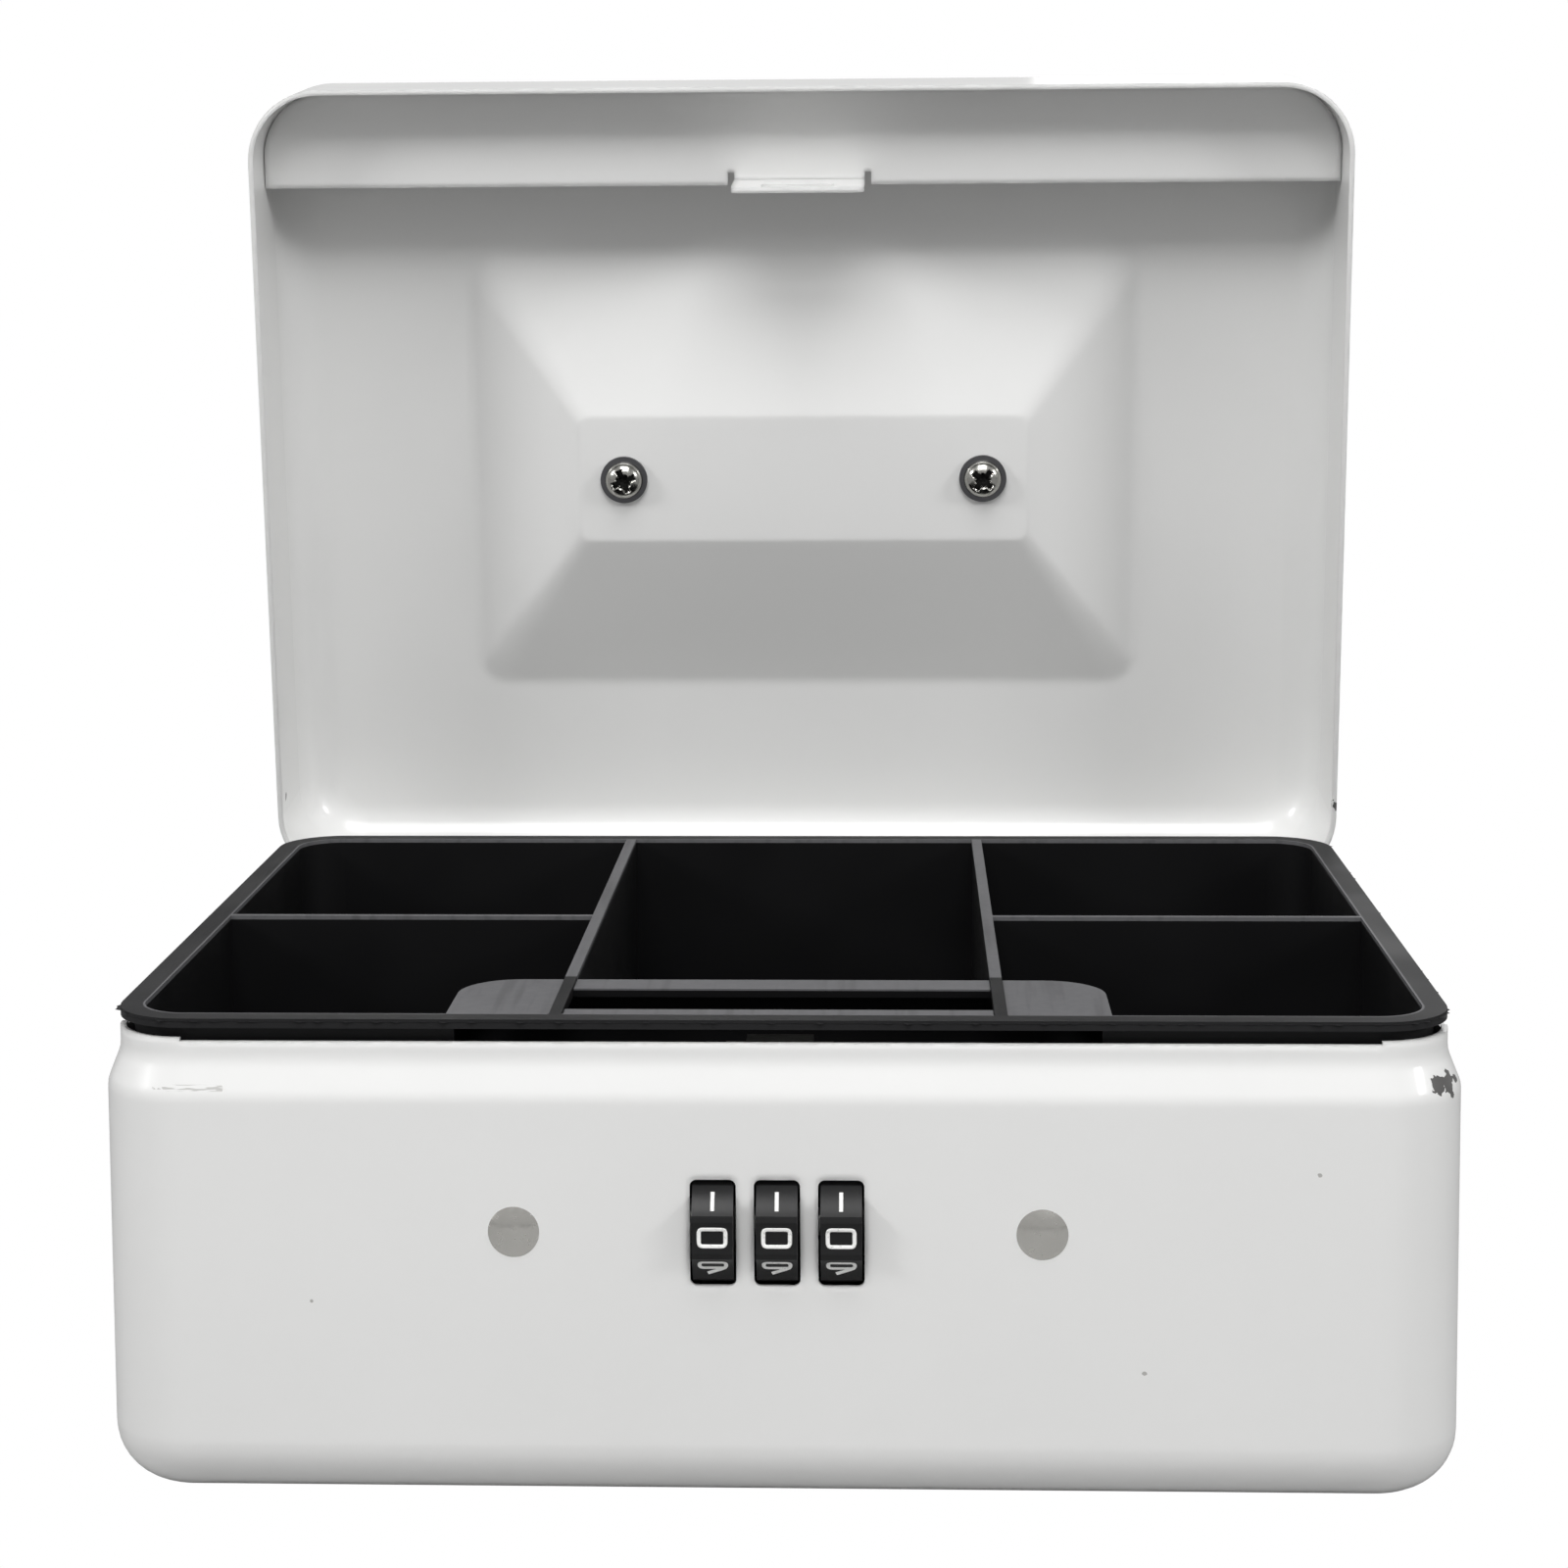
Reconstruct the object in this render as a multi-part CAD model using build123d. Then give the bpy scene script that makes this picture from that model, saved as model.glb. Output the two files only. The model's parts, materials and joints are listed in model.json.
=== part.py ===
from build123d import *
import os
from math import cos, radians, sin, sqrt

# Portable cash box: drawn steel body and hinged lid, lift-out coin tray and a three-dial lock.
# Millimetres. X to the right, Y to the back, Z up; the origin is under the middle of the body.

# How far a cutter runs on past the face it opens
CUT_SPARE = 2.0

# Body and lid sheet
WIDTH = 200.0
DEPTH = 150.0
CORNER_RADIUS = 13.0
SHEET = 0.9
BASE_RADIUS = 9.0
SHOULDER_Z = 60.8
SHOULDER_RISE = 5.0
SHOULDER_BLEND = 4.0
NECK_INSET = 2.0
NECK_TOP = 68.5
NECK_CORNER_RISE = 0.5

# Lid
LID_RIM_Z = 64.6
LID_HEIGHT = 26.0
LID_EDGE_RADIUS = 8.0
OPEN_ANGLE = 83.0
RECESS_LENGTH = 127.0
RECESS_WIDTH = 84.0
RECESS_FLOOR_LENGTH = 85.0
RECESS_FLOOR_WIDTH = 24.0
RECESS_DEPTH = 9.0
RECESS_CORNER = 5.0
RECESS_FLOOR_CORNER = 2.0
RECESS_BLEND = 5.0

# Hinge
HINGE_LENGTH = 150.0
KNUCKLES = 10
KNUCKLE_GAP = 0.3
KNUCKLE_RADIUS = 1.55
HINGE_PIN_RADIUS = 0.8
PIN_CLEARANCE = 0.05
HINGE_INSET = 2.0
HINGE_RISE = 0.3
LEAF_THICKNESS = 0.6
LEAF_OFFSET = 0.3
LEAF_HEIGHT = 13.0
HINGE_CLEAR = 0.45
LID_NOTCH_RISE = 1.7
BODY_NOTCH_DROP = 4.0
REAR_EDGE_DROP = 2.3
REAR_CUT = 2.15

# Latch strip inside the lid
STRIP_SETBACK = 10.0
STRIP_WIDTH = 18.7
STRIP_SHEET = 1.0
STRIP_FLANGE = 8.0
STRIP_GAP = 0.2
TAB_WIDTH = 24.0
TAB_LENGTH = 15.0
TAB_CORNER = 1.5
TAB_RELIEF = 1.2
WINDOW_WIDTH = 13.0
WINDOW_HEIGHT = 4.0
WINDOW_SILL = 2.0

# Carrying handle
HANDLE_SPACING = 68.0
POST_LENGTH = 12.0
POST_WIDTH = 11.0
POST_HEIGHT = 6.6
BAIL_RADIUS = 2.0
BAIL_REACH = 22.0
BAIL_LEG_GAP = 0.6
BAIL_BEND = 6.0
BAIL_PIVOT_RISE = 4.5
BAIL_FOLD_ANGLE = 4.0
BAIL_CLEARANCE = 0.06
BAIL_PIN_LENGTH = 3.2
SCREW_RADIUS = 2.0
SCREW_HOLE_CLEARANCE = 0.15
SCREW_SHANK_CLEARANCE = 0.05
SCREW_REACH = 4.6
SCREW_HOLE_SPARE = 0.3
HEAD_RADIUS = 3.6
HEAD_HEIGHT = 2.4
HEAD_CHAMFER = 1.1
CROSS_LENGTH = 4.2
CROSS_WIDTH = 0.9
CROSS_DEPTH = 1.5
WASHER_RADIUS = 4.45
WASHER_THICKNESS = 0.8

# Dials and lock
DIAL_Z = 41.0
DIAL_PITCH = 9.3
DIAL_COUNT = 3
DIAL_RADIUS = 8.9
DIAL_WIDTH = 6.0
DIAL_PROUD = 2.9
DIGITS = 10
FACET_HALF_WIDTH = 2.3
FACET_HOLLOW = 0.35
DIAL_SLOT_GAP = 0.35
DIAL_SLOT_HEIGHT = 15.8
DIAL_SLOT_CORNER = 1.0
DIAL_BORE_RADIUS = 3.4
SHAFT_RADIUS = 2.0
SHAFT_COLLAR_RADIUS = 3.2
RUNNING_CLEARANCE = 0.08
RING_RADIUS = 4.8
RING_WIDTH = 2.7
GATE_FLOOR = 2.75
GATE_WIDTH = 3.2
KEY_WIDTH = 1.2
KEY_HEIGHT = 0.7
CASE_SHEET = 1.0
CASE_HEIGHT = 24.0
CASE_END = 5.7
CASE_CORNER = 4.0
CASE_WINDOW_CLEAR = 0.8
CHEEK_INSIDE = 19.5
CHEEK_HEIGHT = 22.0
CHEEK_DEPTH = 19.5
COVER_CLEAR = 0.2
RIVET_SPACING = 76.6
RIVET_HEAD_RADIUS = 3.75
RIVET_HEAD_HEIGHT = 0.9
RIVET_RADIUS = 1.9
RIVET_TAIL_RADIUS = 2.8
RIVET_TAIL_HEIGHT = 1.0

# Latch bar
LATCH_TRAVEL = 2.0
LATCH_SHEET = 1.0
LATCH_HALF_LENGTH = 18.8
LATCH_HEIGHT = 17.0
LATCH_BACK_GAP = 0.5
LATCH_GATE_GAP = 1.0
FENCE_GAP = 0.3
FENCE_WIDTH = 1.6
FENCE_HEIGHT = 2.2
ARM_HALF_WIDTH = 8.0
ARM_TAB_GAP = 2.6
NOSE_HALF_WIDTH = 5.0
NOSE_HEIGHT = 2.4
NOSE_CLEAR = 0.6
NOSE_PROUD = 0.7

# Latch guides, latch springs and the leaf that clicks the dials
GUIDE_X = 17.2
GUIDE_RISE = 6.0
GUIDE_RADIUS = 0.8
GUIDE_CLEARANCE = 0.1
SPRING_RADIUS = 1.45
SPRING_WIRE = 0.25
SPRING_TURNS = 5
SPRING_SIDES = 4
DETENT_SHEET = 0.3
DETENT_WIDTH = 4.0
DETENT_LENGTH = 7.6
DETENT_GAP = 0.3

# Coin tray
TRAY_WALL = 1.6
TRAY_TOP = 71.9
TRAY_BOTTOM = 38.0
TRAY_CLEARANCE = 1.2
TRAY_BASE_RADIUS = 6.0
FLANGE_HEIGHT = 1.4
FLANGE_SHY = 0.1
DIVIDER_X = 32.5
DIVIDER = 1.8
CROSS_DIVIDER = 1.2
PLATFORM_LENGTH = 97.4
PLATFORM_DEPTH = 27.5
PLATFORM_DROP = 0.4
PLATFORM_SHEET = 1.3
PLATFORM_CORNER = 9.0
SLOT_FROM_FRONT = 8.3
SLOT_DEPTH = 13.1
SCOOP_RADIUS = 14.0
REST_LENGTH = 12.0
REST_WIDTH = 1.6
REST_GAP = 0.3

# Places worked out from the sizes above
FRONT_Y = -DEPTH / 2
BACK_Y = DEPTH / 2
LID_TOP_Z = LID_RIM_Z + LID_HEIGHT
HINGE_Y = BACK_Y - HINGE_INSET
HINGE_Z = LID_RIM_Z + HINGE_RISE
HINGE_AXIS = Axis((0, HINGE_Y, HINGE_Z), (1, 0, 0))
LEAF_Y = HINGE_Y + LEAF_OFFSET
HINGE_NOTCH = HINGE_LENGTH / 2 + 2 * KNUCKLE_GAP
RECESS_FLOOR_Z = LID_TOP_Z - RECESS_DEPTH
BAIL_Z = RECESS_FLOOR_Z + BAIL_PIVOT_RISE
BAIL_HALF_WIDTH = HANDLE_SPACING / 2 + POST_LENGTH / 2 + BAIL_LEG_GAP + BAIL_RADIUS
STRIP_Z = LID_RIM_Z + STRIP_SETBACK
TAB_Y = FRONT_Y + STRIP_WIDTH
DIAL_Y = FRONT_Y + DIAL_RADIUS - DIAL_PROUD
CASE_Y = FRONT_Y + SHEET
DIAL_XS = [(n - (DIAL_COUNT - 1) / 2) * DIAL_PITCH for n in range(DIAL_COUNT)]
RIVET_XS = [-RIVET_SPACING / 2, RIVET_SPACING / 2]
LATCH_Y = DIAL_Y + DIAL_RADIUS + LATCH_BACK_GAP + LATCH_TRAVEL
ARM_Y = TAB_Y - STRIP_SHEET - ARM_TAB_GAP - LATCH_SHEET
COVER_BACK = CASE_Y + CHEEK_DEPTH + COVER_CLEAR
COVER_FLOOR = DIAL_Z - CHEEK_HEIGHT / 2 - COVER_CLEAR
GUIDE_Z = DIAL_Z + GUIDE_RISE
GUIDE_XS = [-GUIDE_X, GUIDE_X]
HANDLE_XS = [-HANDLE_SPACING / 2, HANDLE_SPACING / 2]
TRAY_LENGTH = WIDTH - 2 * (NECK_INSET + SHEET + TRAY_CLEARANCE)
TRAY_DEPTH = DEPTH - 2 * (NECK_INSET + SHEET + TRAY_CLEARANCE)
TRAY_CORNER = CORNER_RADIUS - NECK_INSET - SHEET - TRAY_CLEARANCE
FLANGE_OVERHANG = SHEET + TRAY_CLEARANCE - FLANGE_SHY
TRAY_FRONT = -TRAY_DEPTH / 2 - FLANGE_OVERHANG
PLATFORM_BACK = TRAY_FRONT + PLATFORM_DEPTH


def block(low, high):
    """A box between two opposite corners."""
    size = [b - a for a, b in zip(low, high)]
    return Pos(*low) * Box(*size, align=(Align.MIN, Align.MIN, Align.MIN))


def rod(radius, start, end):
    """A round bar from one point to another."""
    line = Edge.make_line(start, end)
    section = Plane(origin=start, z_dir=line % 0) * Circle(radius)
    return extrude(section, amount=line.length)


def slab(length, depth, radius, low, high):
    """A rounded rectangle, centred on the origin, from one height to another."""
    return extrude(Pos(0, 0, low) * RectangleRounded(length, depth, radius), amount=high - low)


def edges_at(shape, height):
    """The edges of a shape that lie level at one height."""
    near = 0.001
    return [e for e in shape.edges() if all(abs(p.Z - height) < near for p in (e @ 0, e @ 0.5, e @ 1))]


def opened(shape):
    """A lid piece, drawn shut, turned up to where the open lid stands."""
    return shape.rotate(HINGE_AXIS, -OPEN_ANGLE)


def drawn_body(inset):
    """The body's outline as a solid, offset inwards by the given amount."""
    length = WIDTH - 2 * inset
    depth = DEPTH - 2 * inset
    radius = CORNER_RADIUS - inset
    neck_z = SHOULDER_Z + SHOULDER_RISE
    lower = slab(length, depth, radius, inset, SHOULDER_Z)
    wide = Pos(0, 0, SHOULDER_Z) * RectangleRounded(length, depth, radius)
    narrow = Pos(0, 0, neck_z) * RectangleRounded(
        length - 2 * NECK_INSET, depth - 2 * NECK_INSET, radius - NECK_INSET
    )
    shoulder = loft([wide, narrow])
    neck = slab(
        length - 2 * NECK_INSET,
        depth - 2 * NECK_INSET,
        radius - NECK_INSET,
        neck_z,
        NECK_TOP + NECK_CORNER_RISE,
    )
    form = lower + shoulder + neck
    form = fillet(edges_at(form, inset), BASE_RADIUS - inset)
    form = fillet(edges_at(form, SHOULDER_Z), SHOULDER_BLEND)
    return fillet(edges_at(form, neck_z), SHOULDER_BLEND)


def dial_slots(width, height, depth, radius):
    """Upright slots for the dials, cut through the front."""
    cutters = []
    for x in DIAL_XS:
        outline = Plane.XZ * Pos(x, DIAL_Z, 0) * RectangleRounded(width, height, radius)
        cutters.append(Pos(0, FRONT_Y - depth, 0) * extrude(outline, amount=-3 * depth))
    return cutters


def rivet_holes(radius):
    """Round holes for the two lock rivets."""
    reach = RIVET_HEAD_RADIUS
    return [rod(radius, (x, FRONT_Y - reach, DIAL_Z), (x, FRONT_Y + reach, DIAL_Z)) for x in RIVET_XS]


def body_shell():
    """Deep drawn steel body with a stepped neck that the lid closes over."""
    shell = drawn_body(0) - drawn_body(SHEET)
    shell -= slab(
        WIDTH - 2 * (SHEET + NECK_INSET),
        DEPTH - 2 * (SHEET + NECK_INSET),
        CORNER_RADIUS - SHEET - NECK_INSET,
        NECK_TOP - SHEET,
        NECK_TOP + SHEET + NECK_CORNER_RISE,
    )
    straight_x = WIDTH / 2 - CORNER_RADIUS
    straight_y = DEPTH / 2 - CORNER_RADIUS
    shell -= block((-straight_x, -DEPTH, NECK_TOP), (straight_x, DEPTH, LID_TOP_Z))
    shell -= block((-WIDTH, -straight_y, NECK_TOP), (WIDTH, straight_y, LID_TOP_Z))
    cut_y = HINGE_Y - REAR_CUT
    shell -= block((-WIDTH, cut_y, HINGE_Z - REAR_EDGE_DROP), (WIDTH, DEPTH, LID_TOP_Z))
    notch_low = HINGE_Z - BODY_NOTCH_DROP
    shell -= block((-HINGE_NOTCH, cut_y, notch_low), (HINGE_NOTCH, DEPTH, LID_TOP_Z))
    shell -= dial_slots(
        DIAL_WIDTH + 2 * DIAL_SLOT_GAP, DIAL_SLOT_HEIGHT, SHEET, DIAL_SLOT_CORNER
    )
    return shell - rivet_holes(RIVET_RADIUS)


def recess(drop):
    """The hipped hollow in the lid's top, as a solid, lowered by one sheet for its underside."""
    mouth = Pos(0, 0, LID_TOP_Z) * RectangleRounded(RECESS_LENGTH, RECESS_WIDTH, RECESS_CORNER)
    floor = Pos(0, 0, RECESS_FLOOR_Z) * RectangleRounded(
        RECESS_FLOOR_LENGTH, RECESS_FLOOR_WIDTH, RECESS_FLOOR_CORNER
    )
    return Pos(0, 0, -drop) * loft([mouth, floor])


def drawn_lid(inset):
    """The lid's outline as a solid, offset inwards, with its handle recess."""
    form = slab(
        WIDTH - 2 * inset,
        DEPTH - 2 * inset,
        CORNER_RADIUS - inset,
        LID_RIM_Z,
        LID_TOP_Z - inset,
    )
    form = fillet(edges_at(form, LID_TOP_Z - inset), LID_EDGE_RADIUS - inset)
    form -= recess(inset)
    half_x = RECESS_LENGTH / 2 + CUT_SPARE
    half_y = RECESS_WIDTH / 2 + CUT_SPARE
    mouth = []
    for edge in edges_at(form, LID_TOP_Z - inset):
        if abs(edge.center().X) < half_x and abs(edge.center().Y) < half_y:
            mouth.append(edge)
    return fillet(mouth, RECESS_BLEND)


def lid_shell():
    """Drawn steel lid with a rear notch for the hinge barrel and a recess for the handle."""
    shell = drawn_lid(0) - drawn_lid(SHEET)
    shell -= block(
        (-HINGE_NOTCH, BACK_Y - 2 * SHEET, LID_RIM_Z - SHEET),
        (HINGE_NOTCH, BACK_Y + SHEET, HINGE_Z + LID_NOTCH_RISE),
    )
    hole = SCREW_RADIUS + SCREW_HOLE_CLEARANCE
    for x in HANDLE_XS:
        shell -= rod(hole, (x, 0, RECESS_FLOOR_Z - CUT_SPARE), (x, 0, LID_TOP_Z))
    return opened(shell)


def hinge_leaf(first, rise):
    """One leaf of the long hinge: every second knuckle, with its plate above or below."""
    pitch = HINGE_LENGTH / KNUCKLES
    half = HINGE_LENGTH / 2
    near = KNUCKLE_RADIUS + HINGE_CLEAR
    zs = sorted([HINGE_Z + rise * near, HINGE_Z + rise * (near + LEAF_HEIGHT)])
    leaf = block((-half, LEAF_Y, zs[0]), (half, LEAF_Y + LEAF_THICKNESS, zs[1]))
    for n in range(first, KNUCKLES, 2):
        left = -half + n * pitch + KNUCKLE_GAP / 2
        right = left + pitch - KNUCKLE_GAP
        webs = sorted([HINGE_Z, HINGE_Z + rise * (near + LEAF_THICKNESS)])
        leaf += block((left, LEAF_Y, webs[0]), (right, LEAF_Y + LEAF_THICKNESS, webs[1]))
        leaf += rod(KNUCKLE_RADIUS, (left, HINGE_Y, HINGE_Z), (right, HINGE_Y, HINGE_Z))
    bore = rod(
        HINGE_PIN_RADIUS + PIN_CLEARANCE, (-WIDTH, HINGE_Y, HINGE_Z), (WIDTH, HINGE_Y, HINGE_Z)
    )
    return leaf - bore


def hinge_pin():
    """Long wire pin through every knuckle."""
    half = HINGE_LENGTH / 2 + KNUCKLE_GAP
    return rod(HINGE_PIN_RADIUS, (-half, HINGE_Y, HINGE_Z), (half, HINGE_Y, HINGE_Z))


def lid_latch_plate():
    """Folded strip across the lid's front, with the tab that the lock holds."""
    half = WIDTH / 2 - SHEET - STRIP_GAP
    front = FRONT_Y + SHEET + STRIP_GAP
    corner = CORNER_RADIUS - SHEET - STRIP_GAP
    top = STRIP_Z + STRIP_SHEET
    outline = slab(2 * half, -2 * front, corner, STRIP_Z, top)
    plate = outline & block((-half, front, STRIP_Z), (half, TAB_Y, top))
    straight = half - corner
    plate += block((-straight, front, STRIP_Z), (straight, front + STRIP_SHEET, top + STRIP_FLANGE))
    side = TAB_WIDTH / 2
    for x in (-side - TAB_RELIEF, side):
        plate -= block((x, TAB_Y - 2 * TAB_RELIEF, STRIP_Z), (x + TAB_RELIEF, TAB_Y, top))
    tab_face = Plane.XZ * Pos(0, top - TAB_LENGTH / 2, 0) * Rectangle(TAB_WIDTH, TAB_LENGTH)
    tab = Pos(0, TAB_Y, 0) * extrude(tab_face, amount=STRIP_SHEET)
    tab = fillet(tab.edges().filter_by(Axis.Y).group_by(Axis.Z)[0], TAB_CORNER)
    sill = top - TAB_LENGTH + WINDOW_SILL
    window = block(
        (-WINDOW_WIDTH / 2, TAB_Y - 2 * STRIP_SHEET, sill),
        (WINDOW_WIDTH / 2, TAB_Y + STRIP_SHEET, sill + WINDOW_HEIGHT),
    )
    return opened(plate + tab - window)


def handle_post(x):
    """Block on the lid's recess that holds one end of the bail."""
    half = POST_LENGTH / 2
    post = block(
        (x - half, -POST_WIDTH / 2, RECESS_FLOOR_Z),
        (x + half, POST_WIDTH / 2, RECESS_FLOOR_Z + POST_HEIGHT),
    )
    upper = post.edges().filter_by(Axis.X).group_by(Axis.Z)[-1]
    post = fillet(upper, POST_HEIGHT / 2)
    outer = x + half if x > 0 else x - half
    inner = outer - BAIL_PIN_LENGTH if x > 0 else outer + BAIL_PIN_LENGTH
    post -= rod(BAIL_RADIUS + BAIL_CLEARANCE, (outer, 0, BAIL_Z), (inner, 0, BAIL_Z))
    hole_end = RECESS_FLOOR_Z + SCREW_REACH + SCREW_HOLE_SPARE
    post -= rod(SCREW_RADIUS, (x, 0, RECESS_FLOOR_Z), (x, 0, hole_end))
    return opened(post)


def handle_bail():
    """Round wire handle, lying in the recess with its grip towards the hinge."""
    half = BAIL_HALF_WIDTH
    end = HANDLE_SPACING / 2 + POST_LENGTH / 2 - BAIL_PIN_LENGTH + 2 * BAIL_CLEARANCE
    corners = [(-end, 0), (-half, 0), (-half, BAIL_REACH), (half, BAIL_REACH), (half, 0), (end, 0)]
    path = FilletPolyline(*corners, radius=BAIL_BEND / 2)
    path = Pos(0, 0, BAIL_Z) * path
    section = Plane(origin=path @ 0, z_dir=path % 0) * Circle(BAIL_RADIUS)
    bail = sweep(section, path=path)
    axis = Axis((0, 0, BAIL_Z), (1, 0, 0))
    return opened(bail.rotate(axis, BAIL_FOLD_ANGLE))


def handle_screws():
    """Two pan head screws, put in from inside the lid."""
    seat = RECESS_FLOOR_Z - SHEET - WASHER_THICKNESS
    screws = []
    for x in HANDLE_XS:
        tip = RECESS_FLOOR_Z + SCREW_REACH
        shank = rod(SCREW_RADIUS - SCREW_SHANK_CLEARANCE, (x, 0, seat), (x, 0, tip))
        head = rod(HEAD_RADIUS, (x, 0, seat - HEAD_HEIGHT), (x, 0, seat))
        head = chamfer(edges_at(head, seat - HEAD_HEIGHT), HEAD_CHAMFER)
        low = seat - HEAD_HEIGHT
        for size_x, size_y in ((CROSS_LENGTH, CROSS_WIDTH), (CROSS_WIDTH, CROSS_LENGTH)):
            head -= block(
                (x - size_x / 2, -size_y / 2, low), (x + size_x / 2, size_y / 2, low + CROSS_DEPTH)
            )
        screws.append(opened(shank + head))
    return Compound(screws)


def handle_washers():
    """Two plain washers under the screw heads."""
    seat = RECESS_FLOOR_Z - SHEET
    hole = SCREW_RADIUS + SCREW_HOLE_CLEARANCE
    washers = []
    for x in HANDLE_XS:
        ring = rod(WASHER_RADIUS, (x, 0, seat - WASHER_THICKNESS), (x, 0, seat))
        ring -= rod(hole, (x, 0, seat - CUT_SPARE), (x, 0, seat + CUT_SPARE))
        washers.append(opened(ring))
    return Compound(washers)


def lock_case():
    """Folded steel frame behind the front wall: a riveted plate and two cheeks for the shaft."""
    back = CASE_Y + CASE_SHEET
    face = Plane.XZ * Pos(0, DIAL_Z, 0) * RectangleRounded(
        RIVET_SPACING + 2 * CASE_END, CASE_HEIGHT, CASE_CORNER
    )
    case = Pos(0, CASE_Y, 0) * extrude(face, amount=-CASE_SHEET)
    side = DIAL_XS[-1] + DIAL_WIDTH / 2 + RING_WIDTH + CASE_WINDOW_CLEAR
    rise = DIAL_SLOT_HEIGHT / 2 + CASE_WINDOW_CLEAR
    case -= block((-side, FRONT_Y, DIAL_Z - rise), (side, back, DIAL_Z + rise))
    case -= rivet_holes(RIVET_RADIUS)
    for side in (-1, 1):
        near, far = sorted([side * CHEEK_INSIDE, side * (CHEEK_INSIDE + CASE_SHEET)])
        case += block(
            (near, CASE_Y, DIAL_Z - CHEEK_HEIGHT / 2),
            (far, CASE_Y + CHEEK_DEPTH, DIAL_Z + CHEEK_HEIGHT / 2),
        )
    return case - rod(SHAFT_RADIUS, (-WIDTH / 2, DIAL_Y, DIAL_Z), (WIDTH / 2, DIAL_Y, DIAL_Z))


def lock_cover():
    """Channel that closes the lock's back, top and bottom, open at the top for the latch arm."""
    half = CHEEK_INSIDE + CASE_SHEET
    front = CASE_Y + CASE_SHEET + COVER_CLEAR
    back = CASE_Y + CHEEK_DEPTH + COVER_CLEAR + CASE_SHEET
    low = DIAL_Z - CHEEK_HEIGHT / 2 - COVER_CLEAR - CASE_SHEET
    high = DIAL_Z + CHEEK_HEIGHT / 2 + COVER_CLEAR + CASE_SHEET
    cover = block((-half, front, low), (half, back, high))
    cover -= block(
        (-half, front, low + CASE_SHEET), (half, back - CASE_SHEET, high - CASE_SHEET)
    )
    side = ARM_HALF_WIDTH + LATCH_SHEET
    gate_front = ARM_Y - LATCH_TRAVEL - LATCH_SHEET
    gate_back = LATCH_Y + LATCH_SHEET + LATCH_GATE_GAP
    return cover - block((-side, gate_front, high - 2 * CASE_SHEET), (side, gate_back, high))


def dial(x):
    """One number wheel with ten shallow facets and a keyed bore."""
    half = DIAL_WIDTH / 2
    wheel = rod(DIAL_RADIUS, (x - half, DIAL_Y, DIAL_Z), (x + half, DIAL_Y, DIAL_Z))
    edge = sqrt(DIAL_RADIUS**2 - FACET_HALF_WIDTH**2)
    scoop = (FACET_HALF_WIDTH**2 + FACET_HOLLOW**2) / (2 * FACET_HOLLOW)
    reach = edge - FACET_HOLLOW + scoop
    step = 360 / DIGITS
    for n in range(DIGITS):
        y = DIAL_Y - reach * cos(radians(n * step))
        z = DIAL_Z + reach * sin(radians(n * step))
        wheel -= rod(scoop, (x - half, y, z), (x + half, y, z))
    wheel -= rod(DIAL_BORE_RADIUS, (x - half, DIAL_Y, DIAL_Z), (x + half, DIAL_Y, DIAL_Z))
    return wheel - key_bar(x - half, x + half)


def key_bar(left, right):
    """The raised key that turns a code ring with its dial."""
    return block(
        (left, DIAL_Y - KEY_WIDTH / 2, DIAL_Z),
        (right, DIAL_Y + KEY_WIDTH / 2, DIAL_Z + DIAL_BORE_RADIUS + KEY_HEIGHT),
    )


def code_ring(x):
    """Ring beside a dial, notched where the latch bar's fence may drop in."""
    left = x - DIAL_WIDTH / 2
    mid = x + DIAL_WIDTH / 2
    right = mid + RING_WIDTH
    ring = rod(DIAL_BORE_RADIUS, (left, DIAL_Y, DIAL_Z), (mid, DIAL_Y, DIAL_Z))
    ring += key_bar(left, mid)
    ring += rod(RING_RADIUS, (mid, DIAL_Y, DIAL_Z), (right, DIAL_Y, DIAL_Z))
    bore = SHAFT_RADIUS + RUNNING_CLEARANCE
    ring -= rod(bore, (left, DIAL_Y, DIAL_Z), (right, DIAL_Y, DIAL_Z))
    half = GATE_WIDTH / 2
    gate = block((mid, DIAL_Y + GATE_FLOOR, DIAL_Z - half), (right, DIAL_Y + DEPTH, DIAL_Z + half))
    turn = Axis((0, DIAL_Y, DIAL_Z), (1, 0, 0))
    return ring - gate - gate.rotate(turn, -90)


def dial_shaft():
    """Fixed round shaft between the cheeks, with a collar beside the first dial."""
    half = CHEEK_INSIDE + 2 * CASE_SHEET
    shaft = rod(SHAFT_RADIUS, (-half, DIAL_Y, DIAL_Z), (half, DIAL_Y, DIAL_Z))
    collar_end = DIAL_XS[0] - DIAL_WIDTH / 2 - DIAL_SLOT_GAP
    return shaft + rod(
        SHAFT_COLLAR_RADIUS, (-CHEEK_INSIDE, DIAL_Y, DIAL_Z), (collar_end, DIAL_Y, DIAL_Z)
    )


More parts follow.
